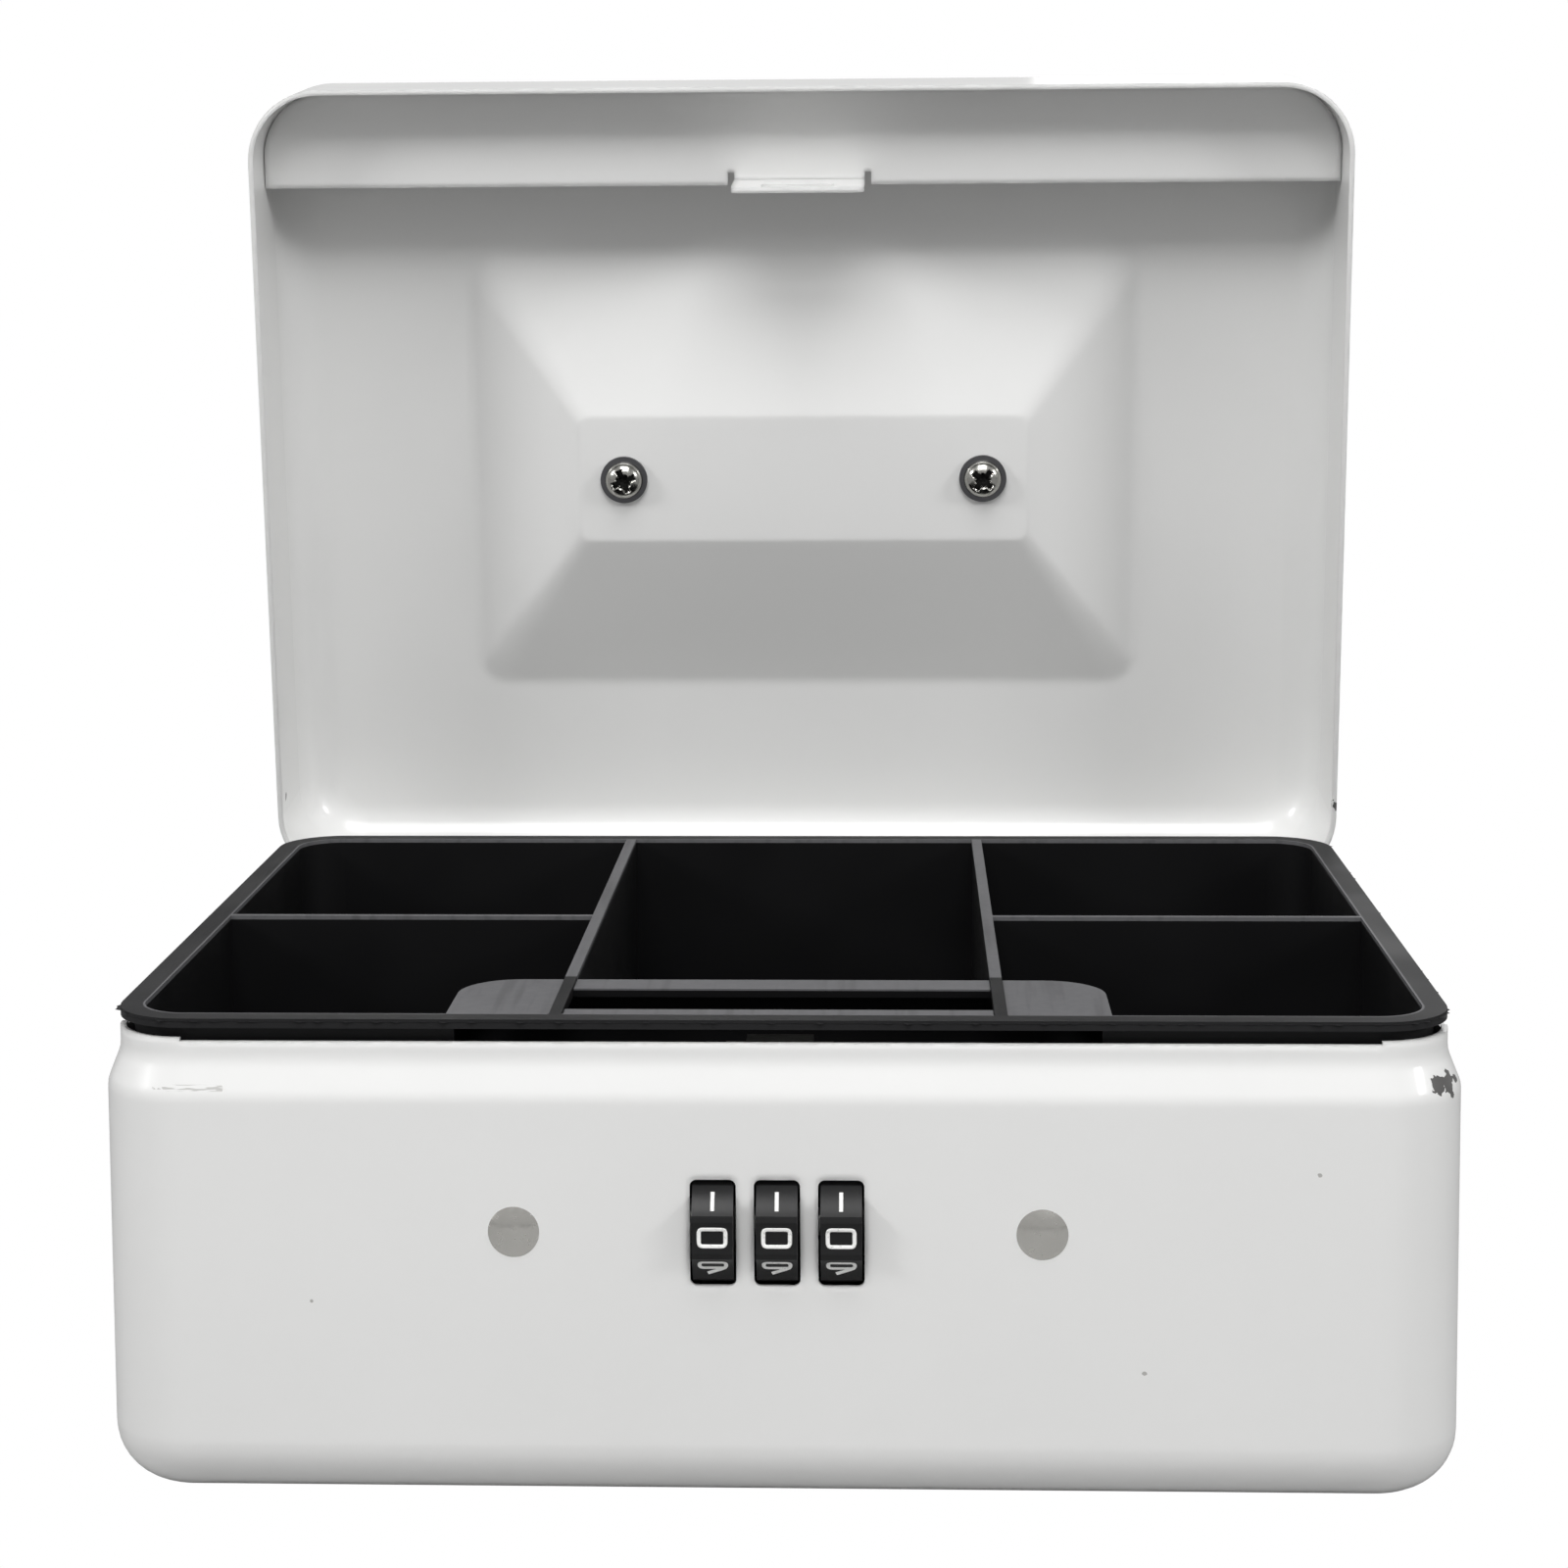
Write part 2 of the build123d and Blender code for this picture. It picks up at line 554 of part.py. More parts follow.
def latch_bar():
    """Sliding plate with a fence for each code ring and a nose for the lid's tab."""
    front = LATCH_Y
    back = front + LATCH_SHEET
    low = DIAL_Z - LATCH_HEIGHT / 2
    shelf = DIAL_Z + CHEEK_HEIGHT / 2 - LATCH_SHEET
    bar = block((-LATCH_HALF_LENGTH, front, low), (LATCH_HALF_LENGTH, back, shelf))
    tip = DIAL_Y + RING_RADIUS + FENCE_GAP
    for x in DIAL_XS:
        mid = x + DIAL_WIDTH / 2 + RING_WIDTH / 2
        bar += block(
            (mid - FENCE_WIDTH / 2, tip, DIAL_Z - FENCE_HEIGHT / 2),
            (mid + FENCE_WIDTH / 2, front, DIAL_Z + FENCE_HEIGHT / 2),
        )
    arm_front = ARM_Y
    side = ARM_HALF_WIDTH
    bar += block((-side, arm_front, shelf), (side, back, shelf + LATCH_SHEET))
    sill = STRIP_Z + STRIP_SHEET - TAB_LENGTH + WINDOW_SILL
    nose_low = sill + NOSE_CLEAR
    nose_top = nose_low + NOSE_HEIGHT
    bar += block((-side, arm_front, shelf), (side, arm_front + LATCH_SHEET, nose_top))
    hole = GUIDE_RADIUS + GUIDE_CLEARANCE
    for x in GUIDE_XS:
        bar -= rod(hole, (x, front - CUT_SPARE, GUIDE_Z), (x, back + CUT_SPARE, GUIDE_Z))
    nose = NOSE_HALF_WIDTH
    return bar + block((-nose, arm_front, nose_low), (nose, TAB_Y + NOSE_PROUD, nose_top))


def latch_guides():
    """Two thin pins, from the lock's front plate to its cover, that the latch bar slides on."""
    front = CASE_Y + CASE_SHEET
    return Compound(
        [rod(GUIDE_RADIUS, (x, front, GUIDE_Z), (x, COVER_BACK, GUIDE_Z)) for x in GUIDE_XS]
    )


def latch_springs():
    """Two compression springs on the guides that push the latch bar back into the lid's tab."""
    front = CASE_Y + CASE_SHEET
    length = LATCH_Y - front - 2 * SPRING_WIRE
    springs = []
    for x in GUIDE_XS:
        coil = Helix(pitch=length / SPRING_TURNS, height=length, radius=SPRING_RADIUS)
        section = Plane(origin=coil @ 0, z_dir=coil % 0) * RegularPolygon(SPRING_WIRE, SPRING_SIDES)
        spring = sweep(section, path=coil, is_frenet=True)
        springs.append(Pos(x, front + SPRING_WIRE, GUIDE_Z) * Rot(-90, 0, 0) * spring)
    return Compound(springs)


def detent_spring():
    """Leaf on the lock's floor, with a bowed finger under each dial that clicks in its facets."""
    top = DIAL_Z - DIAL_RADIUS - DETENT_GAP
    half = DETENT_LENGTH / 2
    low = COVER_FLOOR
    outer = [(DIAL_Y - half, low), (DIAL_Y, top), (DIAL_Y + half, low)]
    inner = [(y, z - DETENT_SHEET) for y, z in outer]
    curve = ThreePointArc(*[(0, y, z) for y, z in outer])
    under = ThreePointArc(*[(0, y, z) for y, z in inner])
    ends = [Line(curve @ 0, under @ 0), Line(curve @ 1, under @ 1)]
    finger = Face(Wire([curve, ends[1], under, ends[0]]))
    left = DIAL_XS[0] - DETENT_WIDTH / 2
    right = DIAL_XS[-1] + DETENT_WIDTH / 2
    strip_end = DIAL_Y + half + DETENT_WIDTH
    leaf = block((left, DIAL_Y + half, low), (right, strip_end, low + DETENT_SHEET))
    for x in DIAL_XS:
        start = x - DETENT_WIDTH / 2
        leaf += Pos(start, 0, DETENT_SHEET) * extrude(finger, amount=DETENT_WIDTH, dir=(1, 0, 0))
    return leaf


def lock_rivets():
    """Two rivets with polished domed heads that hold the lock to the front wall."""
    tail = CASE_Y + CASE_SHEET
    dome = (RIVET_HEAD_RADIUS**2 + RIVET_HEAD_HEIGHT**2) / (2 * RIVET_HEAD_HEIGHT)
    reach = RIVET_HEAD_RADIUS + CUT_SPARE
    front = FRONT_Y - RIVET_HEAD_HEIGHT - CUT_SPARE
    rivets = []
    for x in RIVET_XS:
        ball = Pos(x, FRONT_Y - RIVET_HEAD_HEIGHT + dome, DIAL_Z) * Sphere(dome)
        head = ball & rod(reach, (x, front, DIAL_Z), (x, FRONT_Y, DIAL_Z))
        rivet = head + rod(RIVET_RADIUS, (x, FRONT_Y, DIAL_Z), (x, tail, DIAL_Z))
        rivet += rod(RIVET_TAIL_RADIUS, (x, tail, DIAL_Z), (x, tail + RIVET_TAIL_HEIGHT, DIAL_Z))
        rivets.append(rivet)
    return Compound(rivets)


def lock_room():
    """The space under the tray's platform, open to the front and below, for the lock."""
    half = PLATFORM_LENGTH / 2 - TRAY_WALL
    ceiling = TRAY_TOP - PLATFORM_DROP - PLATFORM_SHEET
    room = block(
        (-half, -DEPTH, TRAY_BOTTOM - TRAY_WALL), (half, PLATFORM_BACK - TRAY_WALL, ceiling)
    )
    back_edges = room.edges().filter_by(Axis.Z).group_by(Axis.Y)[-1]
    return fillet(back_edges, PLATFORM_CORNER - TRAY_WALL)


def tray():
    """Moulded lift-out tray: five compartments and a slotted platform over the lock."""
    body = slab(TRAY_LENGTH, TRAY_DEPTH, TRAY_CORNER, TRAY_BOTTOM, TRAY_TOP)
    body = fillet(edges_at(body, TRAY_BOTTOM), TRAY_BASE_RADIUS)
    cavity = slab(
        TRAY_LENGTH - 2 * TRAY_WALL,
        TRAY_DEPTH - 2 * TRAY_WALL,
        TRAY_CORNER - TRAY_WALL,
        TRAY_BOTTOM + TRAY_WALL,
        TRAY_TOP + TRAY_WALL,
    )
    cavity = fillet(edges_at(cavity, TRAY_BOTTOM + TRAY_WALL), TRAY_BASE_RADIUS - TRAY_WALL)
    flange = slab(
        TRAY_LENGTH + 2 * FLANGE_OVERHANG,
        TRAY_DEPTH + 2 * FLANGE_OVERHANG,
        TRAY_CORNER + FLANGE_OVERHANG,
        TRAY_TOP - FLANGE_HEIGHT,
        TRAY_TOP,
    )
    inner = tray_dividers() + tray_platform()
    shell = (body + flange - cavity) + (inner & body)
    shell += tray_rests()
    shell -= lock_room()
    slot_front = TRAY_FRONT + SLOT_FROM_FRONT
    slot = block(
        (-DIVIDER_X + DIVIDER / 2, slot_front, TRAY_BOTTOM),
        (DIVIDER_X - DIVIDER / 2, slot_front + SLOT_DEPTH, TRAY_TOP + CUT_SPARE),
    )
    slot &= block(
        (-WIDTH, -DEPTH, TRAY_TOP - PLATFORM_DEPTH / 2), (WIDTH, DEPTH, TRAY_TOP + CUT_SPARE)
    )
    return shell - slot


def tray_dividers():
    """Two long dividers, two cross dividers and the scoop in the middle compartment."""
    floor = TRAY_BOTTOM + TRAY_WALL / 2
    half = TRAY_DEPTH / 2
    walls = Part()
    for side in (-1, 1):
        mid = side * DIVIDER_X
        walls += block((mid - DIVIDER / 2, -half, floor), (mid + DIVIDER / 2, half, TRAY_TOP))
        near, far = sorted([mid, side * (TRAY_LENGTH / 2 - TRAY_WALL / 2)])
        walls += block((near, -CROSS_DIVIDER / 2, floor), (far, CROSS_DIVIDER / 2, TRAY_TOP))
    corner = (PLATFORM_BACK - TRAY_WALL / 2, floor)
    curve = block(
        (-DIVIDER_X, corner[0], corner[1]),
        (DIVIDER_X, corner[0] + SCOOP_RADIUS, corner[1] + SCOOP_RADIUS),
    )
    centre = (corner[0] + SCOOP_RADIUS + TRAY_WALL / 2, corner[1] + SCOOP_RADIUS + TRAY_WALL / 2)
    scoop = rod(SCOOP_RADIUS, (-WIDTH, centre[0], centre[1]), (WIDTH, centre[0], centre[1]))
    return walls + (curve - scoop)


def tray_platform():
    """Raised block with rounded back corners that roofs the lock."""
    half = PLATFORM_LENGTH / 2
    top = TRAY_TOP - PLATFORM_DROP
    deck = block((-half, -TRAY_DEPTH / 2, TRAY_BOTTOM), (half, PLATFORM_BACK, top))
    return fillet(deck.edges().filter_by(Axis.Z).group_by(Axis.Y)[-1], PLATFORM_CORNER)


def tray_rests():
    """Short ribs under the flange that stand on the body's neck."""
    low = NECK_TOP + REST_GAP
    high = TRAY_TOP - FLANGE_HEIGHT / 2
    inner = TRAY_LENGTH / 2 - TRAY_WALL / 2
    outer = TRAY_LENGTH / 2 + FLANGE_OVERHANG - SHEET / 2
    ribs = Part()
    for side in (-1, 1):
        near, far = sorted([side * inner, side * outer])
        for y in (-TRAY_DEPTH / 3, 0, TRAY_DEPTH / 3):
            ribs += block((near, y - REST_LENGTH / 2, low), (far, y + REST_LENGTH / 2, high))
    return ribs


def build():
    """Every node of the box by name."""
    nodes = {
        "body_shell": body_shell(),
        "lid_shell": lid_shell(),
        "hinge_leaf_body": hinge_leaf(0, -1),
        "hinge_leaf_lid": opened(hinge_leaf(1, 1)),
        "hinge_pin": hinge_pin(),
        "lid_latch_plate": lid_latch_plate(),
        "handle_post_left": handle_post(HANDLE_XS[0]),
        "handle_post_right": handle_post(HANDLE_XS[1]),
        "handle_bail": handle_bail(),
        "handle_screws": handle_screws(),
        "handle_washers": handle_washers(),
        "lock_case": lock_case(),
        "lock_cover": lock_cover(),
        "dial_shaft": dial_shaft(),
        "latch_bar": latch_bar(),
        "latch_guides": latch_guides(),
        "latch_springs": latch_springs(),
        "detent_spring": detent_spring(),
        "lock_rivets": lock_rivets(),
        "coin_tray": tray(),
    }
    for n, x in enumerate(DIAL_XS, start=1):
        nodes[f"dial_{n}"] = dial(x)
        nodes[f"code_ring_{n}"] = code_ring(x)
    return nodes


os.makedirs("parts", exist_ok=True)
for name, shape in build().items():
    export_step(shape, f"parts/{name}.step")
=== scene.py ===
# Portable cash box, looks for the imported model: white powder coat, black tray, dials and fittings
import bmesh
import bpy
import json
from math import cos, pi, radians, sin, sqrt
from mathutils import Matrix, Vector
from mathutils import noise as wobble


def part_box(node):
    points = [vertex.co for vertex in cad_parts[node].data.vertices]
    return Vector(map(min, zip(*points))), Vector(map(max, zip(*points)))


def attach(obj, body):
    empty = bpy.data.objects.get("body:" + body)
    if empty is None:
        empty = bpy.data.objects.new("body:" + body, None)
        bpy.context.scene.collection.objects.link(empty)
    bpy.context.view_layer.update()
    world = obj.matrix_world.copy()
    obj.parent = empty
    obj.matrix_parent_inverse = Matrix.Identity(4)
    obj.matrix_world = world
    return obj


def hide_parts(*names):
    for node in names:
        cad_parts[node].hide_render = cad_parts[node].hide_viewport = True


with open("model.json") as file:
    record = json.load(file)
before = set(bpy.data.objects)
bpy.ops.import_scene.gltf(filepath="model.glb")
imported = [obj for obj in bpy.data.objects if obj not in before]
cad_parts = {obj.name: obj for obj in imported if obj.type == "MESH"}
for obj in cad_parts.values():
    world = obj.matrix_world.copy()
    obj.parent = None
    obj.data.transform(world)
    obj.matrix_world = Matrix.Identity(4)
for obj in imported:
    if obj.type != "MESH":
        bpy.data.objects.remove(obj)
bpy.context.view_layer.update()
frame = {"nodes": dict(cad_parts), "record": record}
nodes = frame["nodes"]

mm = 0.001
noiseLow, noiseHigh = 0.3, 0.7  # nearly all of a noise texture's values lie between these
cellsPerBlotch = 0.6


def hexColour(text):
    """sRGB hex to the linear colour that the shaders take."""
    channels = [int(text[i:i + 2], 16) / 255 for i in (1, 3, 5)]
    return [c / 12.92 if c <= 0.04045 else ((c + 0.055) / 1.055) ** 2.4 for c in channels] + [1]


def addNode(tree, kind, settings=None, inputs=None):
    """One shader node, with its settings and with values or links for its inputs."""
    made = tree.nodes.new(kind)
    for name, value in (settings or {}).items():
        setattr(made, name, value)
    for name, value in (inputs or {}).items():
        if isinstance(value, bpy.types.NodeSocket):
            tree.links.new(value, made.inputs[name])
        else:
            made.inputs[name].default_value = value
    return made


def newMaterial(name):
    """An empty material, with its node tree and its object coordinates."""
    material = bpy.data.materials.new(name)
    material.use_nodes = True
    material.node_tree.nodes.clear()
    tree = material.node_tree
    place = addNode(tree, "ShaderNodeTexCoord").outputs["Object"]
    return material, tree, place


def finishMaterial(material, tree, surface):
    addNode(tree, "ShaderNodeOutputMaterial", {}, {"Surface": surface})
    return material


def noise(tree, place, size, detail=2.0, stretch=(1, 1, 1)):
    """Noise whose blotches are about the given size in metres."""
    scaled = addNode(tree, "ShaderNodeMapping", {}, {"Vector": place, "Scale": stretch})
    made = addNode(tree, "ShaderNodeTexNoise", {}, {
        "Vector": scaled.outputs["Vector"], "Scale": cellsPerBlotch / size, "Detail": detail})
    return made.outputs["Fac"]


def remap(tree, value, low, high, toLow, toHigh):
    made = addNode(tree, "ShaderNodeMapRange", {"interpolation_type": "SMOOTHSTEP"}, {
        "Value": value, "From Min": low, "From Max": high, "To Min": toLow, "To Max": toHigh})
    return made.outputs["Result"]


def fadeOut(tree, value, start, length):
    """A mask that falls from 1 to 0 over a length."""
    return remap(tree, value, start, start + length, 1, 0)


def blendColour(tree, factor, first, second):
    made = addNode(tree, "ShaderNodeMix", {"data_type": "RGBA"}, {0: factor, 6: first, 7: second})
    return made.outputs[2]


def maths(tree, operation, *values):
    made = addNode(tree, "ShaderNodeMath", {"operation": operation}, dict(enumerate(values)))
    return made.outputs[0]


def vectorMaths(tree, operation, *values):
    """Vector arithmetic, where a length or a distance comes out as a number."""
    made = addNode(tree, "ShaderNodeVectorMath", {"operation": operation}, dict(enumerate(values)))
    return made.outputs["Value" if operation in ("LENGTH", "DISTANCE") else "Vector"]


def multiply(tree, mask, *others):
    for other in others:
        mask = maths(tree, "MULTIPLY", mask, other)
    return mask


def between(tree, value, low, high, soft):
    """A mask that is 1 where a value lies between two limits."""
    above = remap(tree, value, low - soft, low, 0, 1)
    return multiply(tree, above, fadeOut(tree, value, high, soft))


def bump(tree, height, distance, normal=None):
    inputs = {"Height": height, "Distance": distance, "Strength": 1.0}
    if normal:
        inputs["Normal"] = normal
    return addNode(tree, "ShaderNodeBump", {}, inputs).outputs["Normal"]


print("stage: materials")

# White polyester powder coat on steel: sprayed as dust and baked, so it levels into a faint orange peel
coat = {
    "colour": "#e3e3e2", "shade": "#dededd", "dirt": "#a9a8a5", "bare": "#4b4a49",
    "cloudSize": 30 * mm, "roughness": 0.36, "roughSpread": 0.03, "gloss": 0.5, "glossRoughness": 0.12,
    "peelSize": 1.1 * mm, "peelDetail": 1.5, "peelDepth": 0.006 * mm, "thickness": 0.06 * mm,
    "scuffSize": 0.3 * mm, "scuffStretch": (0.1, 1, 1), "scuffFrom": 0.5, "scuffTo": 0.56,
    "scuffStrength": 0.75, "scuffLow": 61.7 * mm, "scuffHigh": 62.3 * mm, "scuffFade": 0.25 * mm,
    "raggedSize": 0.7 * mm, "ragged": 2.2, "spotFrom": 1.9, "spotTo": 2.0,
    "softEdge": 1.6 * mm, "edgeSamples": 4,
}
# Where the coat is knocked off, scuffed or flecked: centre and radius in mm
chips = [
    ((97.0, -69.3, 62.2), 2.0), ((95.4, -71.2, 62.3), 1.5), ((98.4, -66.8, 62.0), 0.9),
    ((-100.0, 74.9, 79.2), 1.3), ((100.0, 71.6, 78.3), 1.2),
]
scuffs = [((-87.5, -74.4, 61.9), 3.6), ((-83.0, -74.5, 61.9), 3.2)]
flecks = [
    ((-91.5, -75.0, 28.0), 0.45), ((53.0, -75.0, 20.5), 0.4), ((-93.0, -75.0, 50.5), 0.35),
    ((78.0, -75.0, 50.0), 0.35), ((-68.0, -75.0, 30.5), 0.3),
]


def spots(tree, place, places, ragged):
    """A mask that is 1 inside round spots, with edges that the noise makes ragged."""
    total = None
    for centre, radius in places:
        away = vectorMaths(tree, "DISTANCE", place, [c * mm for c in centre])
        edge = maths(tree, "MULTIPLY_ADD", ragged, radius * mm * coat["ragged"], away)
        mask = remap(tree, edge, radius * mm * coat["spotFrom"], radius * mm * coat["spotTo"], 1, 0)
        total = maths(tree, "MAXIMUM", total, mask) if total else mask
    return total


def powderCoat():
    material, tree, place = newMaterial("white_powder_coat")
    cloud = noise(tree, place, coat["cloudSize"])
    peel = noise(tree, place, coat["peelSize"], coat["peelDetail"])
    ragged = noise(tree, place, coat["raggedSize"], detail=3)
    chipMask = spots(tree, place, chips, ragged)
    fleckMask = spots(tree, place, flecks, ragged)
    streaks = noise(tree, place, coat["scuffSize"], 2, coat["scuffStretch"])
    height = addNode(tree, "ShaderNodeSeparateXYZ", {}, {0: place}).outputs["Z"]
    scuffMask = multiply(
        tree,
        remap(tree, streaks, coat["scuffFrom"], coat["scuffTo"], 0, coat["scuffStrength"]),
        between(tree, height, coat["scuffLow"], coat["scuffHigh"], coat["scuffFade"]),
        spots(tree, place, scuffs, ragged))
    tint = blendColour(tree, cloud, hexColour(coat["shade"]), hexColour(coat["colour"]))
    for mask, shows in ((fleckMask, "dirt"), (scuffMask, "dirt"), (chipMask, "bare")):
        tint = blendColour(tree, mask, tint, hexColour(coat[shows]))
    roughness, spread = coat["roughness"], coat["roughSpread"]
    rough = remap(tree, cloud, noiseLow, noiseHigh, roughness - spread, roughness + spread)
    soft = addNode(
        tree, "ShaderNodeBevel", {"samples": coat["edgeSamples"]}, {"Radius": coat["softEdge"]}).outputs[0]
    normal = bump(tree, peel, coat["peelDepth"], soft)
    normal = bump(tree, chipMask, -coat["thickness"], normal)  # a chip lies one coat deep
    shader = addNode(tree, "ShaderNodeBsdfPrincipled", {}, {
        "Base Color": tint, "Roughness": rough, "Normal": normal,
        "Coat Weight": coat["gloss"], "Coat Roughness": coat["glossRoughness"]})
    return finishMaterial(material, tree, shader.outputs["BSDF"])


# Black polypropylene, injection moulded against a lightly textured steel tool
plastic = {
    "colour": "#0c0c0d", "worn": "#131314", "roughness": 0.42, "roughSpread": 0.05, "shine": 0.3,
    "cloudSize": 18 * mm, "grainSize": 0.35 * mm, "grainDepth": 0.01 * mm,
}
# The tray's upper faces: the lock's platform and the dividers are rubbed grey, the rim stays black; the
# same grey also serves as the painted reflection on the middle compartment's curved front
rubbedAndSheen = {
    "colour": "#58585a", "light": "#646466", "streak": "#4a4a4b", "rim": "#232324",
    "roughness": 0.5, "shine": 0.1, "above": 71.25 * mm, "below": 76.25 * mm, "edge": 0.02 * mm,
    "halfLength": 94.5 * mm, "halfDepth": 69.5 * mm, "corner": 7.4 * mm, "cornerFade": 0.2 * mm,
    "flakeSize": 0.9 * mm, "streakSize": 1.2 * mm, "streakStretch": (1, 0.06, 1),
    "streakFrom": 0.5, "streakTo": 0.7, "streakStrength": 0.5,
}
# The long dividers run on over the platform as two smooth black strips
strips = {
    "colour": "#1c1c1d", "inner": 31.5 * mm, "outer": 33.5 * mm, "edge": 0.1 * mm,
    "back": -45.6 * mm, "backFade": 1 * mm,
}
# Painted reflection: a lighter grey patch, broken into streaks, on the curved front of the middle
# compartment, in place of the glossy sheen there
scoop = {
    "front": -45.5 * mm, "back": -37.0 * mm, "edge": 2 * mm,
    "top": 50.0 * mm, "half": 27.0 * mm, "fade": 3 * mm,
    "sheenStreakSize": 1.5 * mm, "sheenStreakStretch": (0.6, 1, 0.2),
    "sheenStreakFrom": 0.45, "sheenStreakTo": 0.75, "sheenStrength": 0.5,
}


def blackPlastic(name, roughness, shine):
    material, tree, place = newMaterial(name)
    cloud = noise(tree, place, plastic["cloudSize"])
    grain = noise(tree, place, plastic["grainSize"], detail=3)
    tint = blendColour(tree, cloud, hexColour(plastic["colour"]), hexColour(plastic["worn"]))
    spread = plastic["roughSpread"]
    rough = remap(tree, cloud, noiseLow, noiseHigh, roughness - spread, roughness + spread)
    shader = addNode(tree, "ShaderNodeBsdfPrincipled", {}, {
        "Base Color": tint, "Roughness": rough, "Specular IOR Level": shine,
        "Normal": bump(tree, grain, plastic["grainDepth"])})
    return finishMaterial(material, tree, shader.outputs["BSDF"]), tree, place, shader


def beyondCorner(tree, place):
    """How far a place lies out past the corner centres of the tray's rounded inner outline."""
    flat = vectorMaths(tree, "MULTIPLY", place, (1, 1, 0))
    centre = (rubbedAndSheen["halfLength"] - rubbedAndSheen["corner"], rubbedAndSheen["halfDepth"] - rubbedAndSheen["corner"], 0)
    past = vectorMaths(tree, "SUBTRACT", vectorMaths(tree, "ABSOLUTE", flat), centre)
    return vectorMaths(tree, "LENGTH", vectorMaths(tree, "MAXIMUM", past, (0, 0, 0)))


def rubbedGrey(tree, place, sideways, backward):
    """Grey with flakes and streaks, and the two black strips across it."""
    flakes = noise(tree, place, rubbedAndSheen["flakeSize"], detail=4)
    grey = blendColour(tree, flakes, hexColour(rubbedAndSheen["colour"]), hexColour(rubbedAndSheen["light"]))
    streaks = noise(tree, place, rubbedAndSheen["streakSize"], 2, rubbedAndSheen["streakStretch"])
    streaked = remap(tree, streaks, rubbedAndSheen["streakFrom"], rubbedAndSheen["streakTo"], 0, rubbedAndSheen["streakStrength"])
    grey = blendColour(tree, streaked, grey, hexColour(rubbedAndSheen["streak"]))
    strip = multiply(
        tree,
        between(tree, sideways, strips["inner"], strips["outer"], strips["edge"]),
        fadeOut(tree, backward, strips["back"], strips["backFade"]))
    return blendColour(tree, strip, grey, hexColour(strips["colour"]))


# Where the painted reflection lies on the middle compartment's curved front, broken into streaks
def scoopSheenMask(tree, place, sideways, backward, height):
    sheenStreaks = noise(tree, place, scoop["sheenStreakSize"], 3, scoop["sheenStreakStretch"])
    return multiply(
        tree,
        between(tree, backward, scoop["front"], scoop["back"], scoop["edge"]),
        fadeOut(tree, height, scoop["top"], scoop["fade"]),
        fadeOut(tree, sideways, scoop["half"], scoop["fade"]),
        remap(tree, sheenStreaks, scoop["sheenStreakFrom"], scoop["sheenStreakTo"], 0, scoop["sheenStrength"]))


def trayPlastic():
    """The same plastic, dull inside the tray and rubbed grey on the platform and the dividers' tops, with a
    painted reflection in lighter grey on the middle compartment's curved front.
    """
    material, tree, place, shader = blackPlastic("tray_plastic", rubbedAndSheen["roughness"], rubbedAndSheen["shine"])
    parts = addNode(tree, "ShaderNodeSeparateXYZ", {}, {0: place}).outputs
    sideways = maths(tree, "ABSOLUTE", parts["X"])
    tops = between(tree, parts["Z"], rubbedAndSheen["above"], rubbedAndSheen["below"], rubbedAndSheen["edge"])
    inside = fadeOut(tree, beyondCorner(tree, place), rubbedAndSheen["corner"], rubbedAndSheen["cornerFade"])
    black = shader.inputs["Base Color"].links[0].from_socket
    tint = blendColour(tree, inside, hexColour(rubbedAndSheen["rim"]), black)
    grey = rubbedGrey(tree, place, sideways, parts["Y"])
    tint = blendColour(tree, multiply(tree, tops, inside), tint, grey)
    # Painted reflection: the rubbed grey laid in streaks over the curved front of the middle compartment
    paintedSheen = scoopSheenMask(tree, place, sideways, parts["Y"], parts["Z"])
    tint = blendColour(tree, paintedSheen, tint, hexColour(rubbedAndSheen["colour"]))
    tree.links.new(tint, shader.inputs["Base Color"])
    return material


# Slight clouding that all the metals share
clouding = {"size": 6 * mm, "smoother": 0.05, "rougher": 0.08}


def metal(name, colour, shade, roughness, scratch, lines=(1, 1, 1), depth=0.003 * mm):
    """Plated or bare metal with fine drawn lines and a slightly clouded finish."""
    material, tree, place = newMaterial(name)
    cloud = noise(tree, place, clouding["size"])
    hair = noise(tree, place, scratch, 3, lines)
    tint = blendColour(tree, cloud, hexColour(shade), hexColour(colour))
    rough = remap(
        tree, hair, noiseLow, noiseHigh, roughness - clouding["smoother"], roughness + clouding["rougher"])
    shader = addNode(tree, "ShaderNodeBsdfPrincipled", {}, {
        "Base Color": tint, "Metallic": 1.0, "Roughness": rough, "Normal": bump(tree, hair, depth)})
    return finishMaterial(material, tree, shader.outputs["BSDF"])


white = powderCoat()
black = blackPlastic("dial_plastic", plastic["roughness"], plastic["shine"])[0]
trayBlack = trayPlastic()
zinc = metal(
    "zinc_plated_steel", colour="#b9bab8", shade="#9a9b98", roughness=0.34, scratch=0.4 * mm,
    lines=(0.2, 1, 1))
# Painted shade: zinc darkened to stand for the shadow in the gap where the lock's latch bar, cover and case
# sit
shadedZinc = metal("zinc_with_painted_gap_shade", colour="#3f3f3d", shade="#2c2c2a", roughness=0.45, scratch=0.8 * mm)
nickel = metal(
    "polished_nickel", colour="#dad9d5", shade="#c2c0ba", roughness=0.2, scratch=0.7 * mm,
    depth=0.012 * mm)
screwSteel = metal(
    "bright_screw_steel", colour="#b4b3af", shade="#96958f", roughness=0.18, scratch=0.4 * mm)
